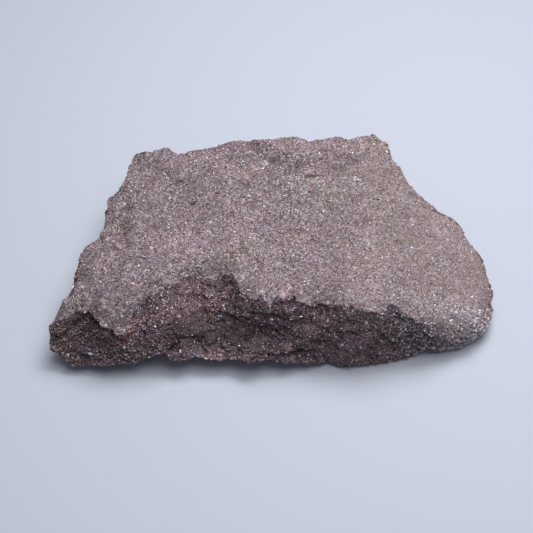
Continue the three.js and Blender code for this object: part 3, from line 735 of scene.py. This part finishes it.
# ---------------------------------------------------------------- the grains
def random_turns(rng, count):
    """Evenly random rotations: matrices of random unit quaternions."""
    q = rng.normal(size=(count, 4))
    w, x, y, z = (q / np.linalg.norm(q, axis=1, keepdims=True)).T
    rows = [
        (1 - 2 * (y * y + z * z), 2 * (x * y - z * w), 2 * (x * z + y * w)),
        (2 * (x * y + z * w), 1 - 2 * (x * x + z * z), 2 * (y * z - x * w)),
        (2 * (x * z - y * w), 2 * (y * z + x * w), 1 - 2 * (x * x + y * y)),
    ]
    return np.moveaxis(np.array(rows), -1, 0)


def grain_cloud(rng, centres, normals, radius, sunk, flat):
    """Corners of every grain: the corner set stretched, jittered, turned and set into the surface, with none
    below the floor. Flat grains are thin one way, as flakes are."""
    count = len(centres)
    size = radius * rng.lognormal(0, GRAIN_SIZE_SPREAD, (count, 1, 1))
    stretch = rng.uniform(*GRAIN_STRETCH, (count, 1, 3)) * (1, 1, 1 - flat)
    jitter = rng.normal(0, GRAIN_JITTER, (count, len(GRAIN_CORNERS), 3))
    corners = (GRAIN_CORNERS + jitter) * stretch * size
    turned = np.einsum("nij,nkj->nki", random_turns(rng, count), corners)
    depth = sunk * size[:, 0] * rng.uniform(*GRAIN_DEPTHS, (count, 1))
    placed = turned + (centres - normals * depth)[:, None]
    placed[..., 2] = np.maximum(placed[..., 2], 0)
    return placed


def grain_map(count):
    """Texture places of every grain's faces: a small square each, upper faces left and lower faces right."""
    across = math.ceil(math.sqrt(count))
    number = np.arange(count)
    cell = np.stack([number % across, number // across], -1)[:, None, None]
    plan = GRAIN_CORNERS[GRAIN_FACES][..., :2] * GRAIN_MAP_SCALE
    half = np.where(np.arange(len(GRAIN_FACES)) < GRAIN_SIDES, UPPER_HALF, LOWER_HALF)[:, None]
    plan = np.dstack([plan[..., 0] + half, plan[..., 1] + 0.5])
    return (cell + plan[None]) / across


def glitter(corners):
    """How many times more flakes a cell holds where they gather."""
    x, y = corners.mean(axis=1)[:, :2].T / MM
    return 1 + sum(
        times * np.exp(-(((x - px) / rx) ** 2) - ((y - py) / ry) ** 2)
        for px, py, rx, ry, times in GLITTER_MM
    )


def grains_on_cells(rng, corners, share, radius, sunk, flat):
    """Grains set at random places in a grid's cells, share of them to a cell on average: points and faces."""
    kept = np.repeat(corners, np.floor(share + rng.random(len(corners))).astype(int), axis=0)
    s, t = rng.random((2, len(kept), 1))
    near = kept[:, 0] * (1 - s) + kept[:, 1] * s
    far = kept[:, 3] * (1 - s) + kept[:, 2] * s
    centres = near * (1 - t) + far * t
    normals = np.cross(kept[:, 2] - kept[:, 0], kept[:, 3] - kept[:, 1])
    normals /= np.linalg.norm(normals, axis=1, keepdims=True)
    points = grain_cloud(rng, centres, normals, radius, sunk, flat)
    first = np.arange(len(kept))[:, None, None] * len(GRAIN_CORNERS)
    return points.reshape(-1, 3), (GRAIN_FACES[None] + first).reshape(-1, 3)


# ------------------------------------------------------------- the finishes
def new_material(name):
    """A node material with nothing but its output and shader: (material, nodes, link, shader)."""
    material = bpy.data.materials.new(name)
    material.use_nodes = True
    tree = material.node_tree
    tree.nodes.clear()
    output = tree.nodes.new("ShaderNodeOutputMaterial")
    shader = tree.nodes.new("ShaderNodeBsdfPrincipled")
    tree.links.new(shader.outputs["BSDF"], output.inputs["Surface"])
    return material, tree.nodes, tree.links.new, shader


def colour_ramp(nodes, stops):
    """A colour ramp node with the given (place, colour) stops."""
    stops = list(stops)
    ramp = nodes.new("ShaderNodeValToRGB")
    elements = ramp.color_ramp.elements
    while len(elements) < len(stops):
        elements.new(0.5)
    for element, (place, colour) in zip(elements, stops):
        element.position = place
        element.color = (*colour, 1)
    return ramp


def millimetre_space(nodes, link):
    """Object coordinates in millimetres, so that a scale of 1 is one pattern cell for each millimetre."""
    place = nodes.new("ShaderNodeTexCoord")
    mapping = nodes.new("ShaderNodeMapping")
    mapping.inputs["Scale"].default_value = (1 / MM,) * 3
    link(place.outputs["Object"], mapping.inputs["Vector"])
    return mapping.outputs["Vector"]


def noise_node(nodes, link, vector, scale, detail=3.0):
    """A noise texture on the given coordinates."""
    node = nodes.new("ShaderNodeTexNoise")
    node.inputs["Scale"].default_value = scale
    node.inputs["Detail"].default_value = detail
    link(vector, node.inputs["Vector"])
    return node


def mix_colours(nodes, link, factor, first, second, blend="MIX"):
    """A colour mix node fed by three sockets; returns its colour."""
    node = nodes.new("ShaderNodeMix")
    node.data_type = "RGBA"
    node.blend_type = blend
    for socket, value in ((node.inputs["Factor"], factor), (node.inputs[6], first), (node.inputs[7], second)):
        if isinstance(value, bpy.types.NodeSocket):
            link(value, socket)
        else:
            socket.default_value = value
    return node.outputs[2]


def map_range(nodes, link, value, from_low, from_high, to_low, to_high):
    """A clamped linear rescale of a value; returns its result."""
    node = nodes.new("ShaderNodeMapRange")
    numbers = {"From Min": from_low, "From Max": from_high, "To Min": to_low, "To Max": to_high}
    for name, number in numbers.items():
        node.inputs[name].default_value = number
    link(value, node.inputs["Value"])
    return node.outputs["Result"]


def face_value(nodes, name):
    """The socket of a number that the mesh holds for each face."""
    node = nodes.new("ShaderNodeAttribute")
    node.attribute_name = name
    return node.outputs["Fac"]


def near_place(nodes, link, space, centre, reach):
    """1 at a centre, falling smoothly to 0 at the given reach along each axis."""
    mapping = nodes.new("ShaderNodeMapping")
    mapping.inputs["Location"].default_value = [-c / r for c, r in zip(centre, reach)]
    mapping.inputs["Scale"].default_value = [1 / r for r in reach]
    link(space, mapping.inputs["Vector"])
    distance = nodes.new("ShaderNodeVectorMath")
    distance.operation = "LENGTH"
    link(mapping.outputs["Vector"], distance.inputs[0])
    return map_range(nodes, link, distance.outputs["Value"], *MARK_FADE, 1.0, 0.0)


def weathered_with_painted_light(nodes, link, space, colour, colours, break_tint_and_shade):
    """The stone's broad stains over a colour, with painted light and shade: clouds light and dark, clouds
    olive and rosy, the stains and the painted light and shade in one place, and a warm tint to the right.
    Broken stone takes the break's tint over all of that, partly its own colour and partly painted shade of
    the broken sides."""
    plain = (1, 1, 1)
    clouds = [(scale, detail, ((low,) * 3, (high,) * 3), CLOUD_STOPS) for scale, detail, low, high in CLOUDS]
    hues = (colours.olive, plain, colours.rosy)
    clouds += [(scale, detail, hues, HUE_STOPS) for scale, detail in HUE_CLOUDS]
    for scale, detail, tints, stops in clouds:
        pattern = noise_node(nodes, link, space, scale, detail)
        tint = colour_ramp(nodes, zip(stops, tints))
        link(pattern.outputs["Fac"], tint.inputs["Fac"])
        colour = mix_colours(nodes, link, 1.0, colour, tint.outputs["Color"], "MULTIPLY")
    # Stains, and painted light and painted shade, each in one place.
    for centre, reach, tint in STAINS_AND_PAINTED_LIGHT_MM:
        share = near_place(nodes, link, space, centre, reach)
        stained_and_painted_light = mix_colours(nodes, link, 1.0, colour, (*tint, 1), "MULTIPLY")
        colour = mix_colours(nodes, link, share, colour, stained_and_painted_light)
    across = nodes.new("ShaderNodeSeparateXYZ")
    link(space, across.inputs["Vector"])
    warm_share = map_range(nodes, link, across.outputs["X"], *WARM_FROM_MM, 0.0, WARM_SHARE)
    colour = mix_colours(nodes, link, warm_share, colour, (*colours.warm, 1))
    # The break's tint: partly the broken stone's own colour, partly painted shade of its sides.
    broken = mix_colours(nodes, link, 1.0, colour, (*break_tint_and_shade, 1), "MULTIPLY")
    return mix_colours(nodes, link, face_value(nodes, "broken"), colour, broken)


def sandstone_material(colours):
    """Cemented sand, as it shows between the grains: speckles of clay, stone and quartz, finely bumpy."""
    material, nodes, link, shader = new_material("sandstone")
    space = millimetre_space(nodes, link)

    cells = nodes.new("ShaderNodeTexVoronoi")
    cells.inputs["Scale"].default_value = SPECKLES
    link(space, cells.inputs["Vector"])
    split = nodes.new("ShaderNodeSeparateColor")
    link(cells.outputs["Color"], split.inputs["Color"])
    tints = (colours.clay, colours.stone, colours.stone, colours.quartz)
    speckle = colour_ramp(nodes, zip(SPECKLE_STOPS, tints))
    link(split.outputs["Red"], speckle.inputs["Fac"])

    # Stains and painted light and shade; on broken stone the seams' tint, partly the cement's own colour,
    # partly painted shade between the grains.
    stained_and_painted_light = weathered_with_painted_light(nodes, link, space, speckle.outputs["Color"], colours, colours.seam)
    link(stained_and_painted_light, shader.inputs["Base Color"])

    patches = noise_node(nodes, link, space, CEMENT_PATCHES)
    rough = map_range(nodes, link, patches.outputs["Fac"], *PATCH_RANGE, *CEMENT_ROUGHNESS)
    link(rough, shader.inputs["Roughness"])

    bump = nodes.new("ShaderNodeBump")
    bump.invert = True
    bump.inputs["Distance"].default_value = SPECKLE_BUMP_MM * MM
    link(cells.outputs["Distance"], bump.inputs["Height"])
    fine = noise_node(nodes, link, space, FINE_BUMPS, 2)
    fine_bump = nodes.new("ShaderNodeBump")
    fine_bump.inputs["Distance"].default_value = FINE_BUMP_MM * MM
    link(fine.outputs["Fac"], fine_bump.inputs["Height"])
    link(bump.outputs["Normal"], fine_bump.inputs["Normal"])
    link(fine_bump.outputs["Normal"], shader.inputs["Normal"])
    return material


def flake_material(colours):
    """Mica flakes and clean crystal faces: pale and smooth, so that some catch the light; the palest are near
    white, partly a painted glint.
    """
    material, nodes, link, shader = new_material("mica")
    ramp = colour_ramp(nodes, [(0.0, colours.stone), (0.4, colours.quartz), (0.9, colours.clear_quartz_and_painted_glint)])
    link(face_value(nodes, "tint"), ramp.inputs["Fac"])
    link(ramp.outputs["Color"], shader.inputs["Base Color"])
    gloss = face_value(nodes, "gloss")
    link(map_range(nodes, link, gloss, 0, 1, *FLAKE_ROUGHNESS), shader.inputs["Roughness"])
    shader.inputs["IOR"].default_value = FLAKE_IOR
    return material


def grain_material(colours):
    """Sand grains: each its own tint and gloss, from brown clay-coated ones to clear quartz."""
    material, nodes, link, shader = new_material("sand_grains")
    # The palest grains go to near white: clear quartz, partly a painted glint.
    ramp = colour_ramp(
        nodes,
        [
            (0.0, colours.clay), (0.3, colours.rust), (0.5, colours.stone), (0.72, colours.stone),
            (0.9, colours.quartz), (1.0, colours.clear_quartz_and_painted_glint),
        ],
    )
    link(face_value(nodes, "tint"), ramp.inputs["Fac"])
    hue = colour_ramp(
        nodes,
        [(0.0, colours.cool), (0.3, (1, 1, 1)), (0.7, (1, 1, 1)), (1.0, colours.orange)],
    )
    link(face_value(nodes, "hue"), hue.inputs["Fac"])
    grain = mix_colours(nodes, link, 1.0, ramp.outputs["Color"], hue.outputs["Color"], "MULTIPLY")
    space = millimetre_space(nodes, link)
    # Stains and painted light and shade; on broken stone the fresh break's tint, partly the grains' own
    # colour, partly painted shade of the sides.
    stained_and_painted_light = weathered_with_painted_light(nodes, link, space, grain, colours, colours.fresh_break_and_shade)
    link(stained_and_painted_light, shader.inputs["Base Color"])
    gloss = face_value(nodes, "gloss")
    link(map_range(nodes, link, gloss, 0, 1, *GRAIN_ROUGHNESS), shader.inputs["Roughness"])
    shader.inputs["IOR"].default_value = GRAIN_IOR
    return material


# ------------------------------------------------------------- the settings
def colour_setting(name, description, default):
    """A colour that a user can change."""
    return FloatVectorProperty(name=name, description=description, subtype="COLOR", default=default)


class SandstoneSizes(bpy.types.PropertyGroup):
    """Fineness of the surface, and size of the sand."""

    cells_along: IntProperty(
        name="Cells along", description="Surface cells from the left end to the right", default=228
    )
    cells_deep: IntProperty(
        name="Cells deep", description="Surface cells from the front to the back", default=108
    )
    cells_high: IntProperty(
        name="Cells high", description="Surface cells from the rim to the foot", default=74
    )
    grain_radius: FloatProperty(
        name="Grain radius", description="Usual radius of a sand grain",
        default=0.145 * MM, unit="LENGTH", precision=6,
    )
    grain_sunk: FloatProperty(
        name="Grain sunk", description="Share of its radius that a grain's middle lies below the surface",
        default=0.25,
    )
    flake_radius: FloatProperty(
        name="Flake radius", description="Usual radius of a mica flake",
        default=0.21 * MM, unit="LENGTH", precision=6,
    )
    seed: IntProperty(name="Seed", description="Picks another scatter of grains", default=5)


class SandstoneColours(bpy.types.PropertyGroup):
    """Colours of the stone's parts."""

    stone: colour_setting("Stone", "Usual colour of grains and cement", (0.36, 0.272, 0.302))
    clay: colour_setting("Clay", "Dark clay between the grains", (0.095, 0.065, 0.07))
    quartz: colour_setting("Quartz", "Pale quartz grains", (0.66, 0.595, 0.64))
    rust: colour_setting("Rust", "Grains with a rusty coat", (0.275, 0.165, 0.16))
    # Near white: the paleness of clear quartz and mica, partly a painted glint.
    clear_quartz_and_painted_glint: colour_setting("Glint", "Clear quartz and mica", (0.92, 0.94, 1.0))
    warm: colour_setting("Warm stain", "Yellowish stain of the right end", (0.46, 0.365, 0.335))
    cool: colour_setting("Cool grain", "Tint of the bluest grains", (0.66, 0.80, 1.0))
    orange: colour_setting("Orange grain", "Tint of the most orange grains", (1.0, 0.74, 0.50))
    olive: colour_setting("Olive cloud", "Tint of the olive clouds", (0.985, 0.99, 0.95))
    rosy: colour_setting("Rosy cloud", "Tint of the rosy clouds", (1.0, 0.97, 0.985))
    # Darker, redder grains on broken stone: partly the break's own colour, partly painted shade of the sides.
    fresh_break_and_shade: colour_setting("Fresh break", "Tint of the grains of broken stone", (0.885, 0.78, 0.80))
    # Dark cement on broken stone: partly its own colour, partly painted shade between the grains.
    seam: colour_setting("Seams", "Tint between the grains of broken stone", (0.39, 0.35, 0.36))


class StageSettings(bpy.types.PropertyGroup):
    """Floor, light and camera."""

    floor_colour: colour_setting("Floor", "Colour of the floor", (0.62, 0.66, 0.76))
    light_power: FloatProperty(
        name="Light power", description="Watts that each light's own factor is applied to", default=0.424
    )
    camera_distance: FloatProperty(
        name="Camera distance", description="From the camera to the slab", default=0.230, unit="LENGTH"
    )
    camera_elevation: FloatProperty(
        name="Camera elevation", description="Above the horizon", default=math.radians(50), subtype="ANGLE"
    )
    lens: FloatProperty(name="Lens", description="Focal length in millimetres", default=85.7)


# ------------------------------------------------------------ the operators
def add_value_per_face(mesh, name, values):
    """A number on every face of a mesh, for its material to read."""
    layer = mesh.attributes.new(name, "FLOAT", "FACE")
    layer.data.foreach_set("value", values.astype(np.float32))


def dress(piece, material):
    """Puts the material on a piece and ties it to the body."""
    piece.data.materials.append(material)
    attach(piece, "root")


class OBJECT_OT_sandstone_slab(bpy.types.Operator):
    """Make the slab's closed surface in place of its plain solid"""

    bl_idname = "object.sandstone_slab"
    bl_label = "Sandstone slab"

    def execute(self, context):
        """Works out the surface and gives it the sandstone finish."""
        sizes = context.scene.sandstone_sizes
        points, regions = slab_surface(sizes.cells_along, sizes.cells_deep, sizes.cells_high)
        quads = np.vstack([corners for corners, _ in regions])
        places = np.vstack([place for _, place in regions])
        slab = make_mesh_object("sandstone", points, quads, places, smooth=True)
        broken = np.repeat(list(BROKEN.values()), [len(corners) for corners, _ in regions])
        # Broken regions take the break's tints, which are partly painted shade.
        add_value_per_face(slab.data, "broken", broken)
        dress(slab, sandstone_material(context.scene.sandstone_colours))
        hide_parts(NODE)
        return {"FINISHED"}


class OBJECT_OT_sand_grains(bpy.types.Operator):
    """Set sand grains into the top, the broken sides and the underside"""

    bl_idname = "object.sand_grains"
    bl_label = "Sand grains"

    def execute(self, context):
        """Scatters grains over each region's cells, with a tint, a gloss and a hue for each grain."""
        sizes = context.scene.sandstone_sizes
        colours = context.scene.sandstone_colours
        rng = np.random.default_rng(sizes.seed)
        finishes = {"sand": grain_material(colours), "flake": flake_material(colours)}
        points, regions = slab_surface(sizes.cells_along, sizes.cells_deep, sizes.cells_high)
        for name, region, kind, share, pieces in GRAIN_PIECES:
            quads = points[regions[region][0]]
            for number, part in enumerate(np.array_split(quads, pieces), 1):
                piece = self.add_grains(rng, f"{name}_{number}", part, kind, share, sizes)
                # Grains on broken regions take the fresh break's tint, partly painted shade.
                add_value_per_face(piece.data, "broken", np.full(len(piece.data.polygons), BROKEN[region]))
                dress(piece, finishes[kind])
        return {"FINISHED"}

    @staticmethod
    def add_grains(rng, name, corners, kind, share, sizes):
        """One mesh of grains or flakes on the given cells, with random values for each."""
        radius, sunk, flat = sizes.grain_radius, sizes.grain_sunk, 0.0
        if kind == "flake":
            radius, sunk, flat = sizes.flake_radius, FLAKE_SUNK, FLAKE_FLAT
            share = share * glitter(corners)
        points, faces = grains_on_cells(rng, corners, share, radius, sunk, flat)
        count = len(faces) // len(GRAIN_FACES)
        places = grain_map(count).reshape(-1, 3, 2)
        piece = make_mesh_object(name, points, faces, places, smooth=False)
        for value in ("tint", "gloss", "hue"):
            add_value_per_face(piece.data, value, np.repeat(rng.random(count), len(GRAIN_FACES)))
        return piece


class OBJECT_OT_sandstone_stage(bpy.types.Operator):
    """Add the floor, the lights and the camera"""

    bl_idname = "object.sandstone_stage"
    bl_label = "Stage"

    def execute(self, context):
        """Builds the stage round the slab."""
        stage = context.scene.sandstone_stage
        self.add_floor(stage)
        self.add_lights(context, stage)
        self.add_camera(context, stage)
        return {"FINISHED"}

    @staticmethod
    def add_floor(stage):
        """A wide plain matt floor."""
        half = FLOOR_HALF_SIZE
        points = np.array([(-half, -half, 0), (half, -half, 0), (half, half, 0), (-half, half, 0)])
        places = np.array([[(0, 0), (1, 0), (1, 1), (0, 1)]], float)
        floor = make_mesh_object("floor", points, np.array([[0, 1, 2, 3]]), places, smooth=False)
        material, _, _, shader = new_material("floor")
        shader.inputs["Base Color"].default_value = (*stage.floor_colour, 1)
        shader.inputs["Roughness"].default_value = FLOOR_ROUGHNESS
        floor.data.materials.append(material)

    @staticmethod
    def add_lights(context, stage):
        """A large softbox overhead, a smaller one behind and a dim surround."""
        for name, power, place, size in STAGE_LIGHTS:
            data = bpy.data.lights.new(name, "AREA")
            data.energy = power * stage.light_power
            data.shape = "ELLIPSE"
            data.size, data.size_y = size
            light = bpy.data.objects.new(name, data)
            light.location = place
            light.rotation_euler = (-light.location).to_track_quat("-Z", "Y").to_euler()
            context.scene.collection.objects.link(light)
        world = bpy.data.worlds.new("surround")
        world.use_nodes = True
        background = world.node_tree.nodes["Background"]
        background.inputs["Color"].default_value = (*SURROUND_COLOUR, 1)
        background.inputs["Strength"].default_value = SURROUND_STRENGTH
        context.scene.world = world

    @staticmethod
    def add_camera(context, stage):
        """A camera in front of and above the slab."""
        data = bpy.data.cameras.new("camera")
        data.lens = stage.lens
        data.sensor_width = SENSOR_WIDTH
        data.dof.use_dof = False
        camera = bpy.data.objects.new("camera", data)
        away = stage.camera_distance * math.cos(stage.camera_elevation)
        up = stage.camera_distance * math.sin(stage.camera_elevation)
        camera.location = (CAMERA_AIM[0], CAMERA_AIM[1] - away, CAMERA_AIM[2] + up)
        camera.rotation_euler = (math.pi / 2 - stage.camera_elevation, 0, 0)
        context.scene.collection.objects.link(camera)
        context.scene.camera = camera
        context.scene.view_settings.view_transform = "Standard"


class VIEW3D_PT_sandstone(bpy.types.Panel):
    """Lists the slab's operators and settings"""

    bl_label = "Sandstone"
    bl_idname = "VIEW3D_PT_sandstone"
    bl_space_type = "VIEW_3D"
    bl_region_type = "UI"
    bl_category = "Sandstone"

    def draw(self, context):
        """Shows a button for each operator, then the settings."""
        for operator in OPERATORS:
            self.layout.operator(operator.bl_idname)
        for group_name in GROUPS:
            group = getattr(context.scene, group_name)
            for name in group.__annotations__:
                self.layout.prop(group, name)


GROUPS = {
    "sandstone_sizes": SandstoneSizes,
    "sandstone_colours": SandstoneColours,
    "sandstone_stage": StageSettings,
}
OPERATORS = (OBJECT_OT_sandstone_stage, OBJECT_OT_sandstone_slab, OBJECT_OT_sand_grains)


def register():
    """Registers every class and hangs the settings on the scene."""
    for cls in (*GROUPS.values(), *OPERATORS, VIEW3D_PT_sandstone):
        bpy.utils.register_class(cls)
    for name, group in GROUPS.items():
        setattr(bpy.types.Scene, name, PointerProperty(type=group))


def unregister():
    """Takes back everything that register did."""
    for name in GROUPS:
        delattr(bpy.types.Scene, name)
    for cls in reversed((*GROUPS.values(), *OPERATORS, VIEW3D_PT_sandstone)):
        bpy.utils.unregister_class(cls)


def main():
    """Makes the stage, the slab and its grains."""
    register()
    bpy.ops.object.sandstone_stage()
    bpy.ops.object.sandstone_slab()
    bpy.ops.object.sand_grains()


if __name__ == "__main__":
    main()
